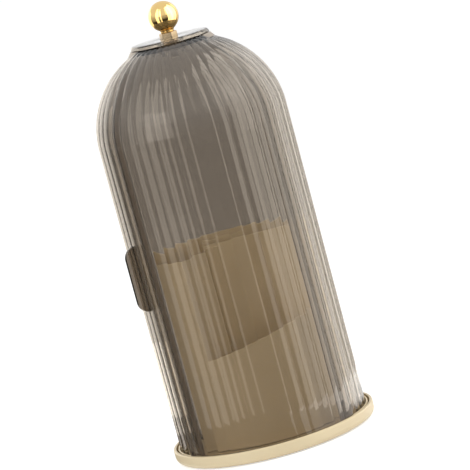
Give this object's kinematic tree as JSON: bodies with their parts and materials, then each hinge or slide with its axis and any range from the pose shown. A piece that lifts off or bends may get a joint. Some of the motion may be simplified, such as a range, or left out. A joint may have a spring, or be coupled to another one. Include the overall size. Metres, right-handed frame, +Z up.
{
  "type": "domed makeup holder",
  "caption": "Domed makeup and brush holder: a smoked ribbed cover with a sliding curved door and ball knob over a divided cup that turns on a cream base.",
  "frame": {"origin": "on the table under the middle of the base, at the underside of the foot pads", "axes": "+Z up along the axis of the cover; -Y is the front, where the door closes the opening"},
  "size_m": [0.142, 0.142, 0.3118],
  "materials": {
    "cream_plastic": "satin",
    "smoked_plastic": "polished",
    "clear_plastic": "polished",
    "champagne_metal": "satin",
    "gold_metal": "polished",
    "steel": "satin",
    "nylon": "matte",
    "rubber": "matte"
  },
  "bodies": {
    "base": {"base_dish": "cream_plastic", "base_plate": "cream_plastic", "foot_pads": "rubber", "base_screws": "steel", "pivot_post": "steel", "pivot_washer": "steel", "pivot_screw": "steel", "lower_race": "steel", "bearing_balls": "steel", "ball_cage": "nylon"},
    "turntable": {"upper_race": "steel", "turntable": "cream_plastic", "cup_screws": "steel", "storage_cup": "cream_plastic", "divider_insert": "cream_plastic"},
    "cover": {"rear_shell": "smoked_plastic", "pivot_bush": "nylon", "top_cap": "clear_plastic", "knob_collar": "champagne_metal", "knob_ball": "gold_metal", "knob_stud": "steel", "knob_washer": "steel", "knob_nut": "steel"},
    "door": {"door_shell": "smoked_plastic", "door_glides": "nylon", "door_handle": "smoked_plastic"}
  },
  "joints": [
    {"name": "cup_spin", "type": "hinge", "parent": "base", "child": "turntable", "pos_m": [0, 0, 0.0155], "axis": [0, 0, 1], "continuous": true},
    {"name": "cover_lift", "type": "slide", "parent": "base", "child": "cover", "axis": [0, 0, 1], "range_m": [0, 0.16]},
    {"name": "door_slide", "type": "hinge", "parent": "cover", "child": "door", "pos_m": [0, 0, 0.28], "axis": [0, 0, 1], "range_deg": [0, 110]}
  ]
}
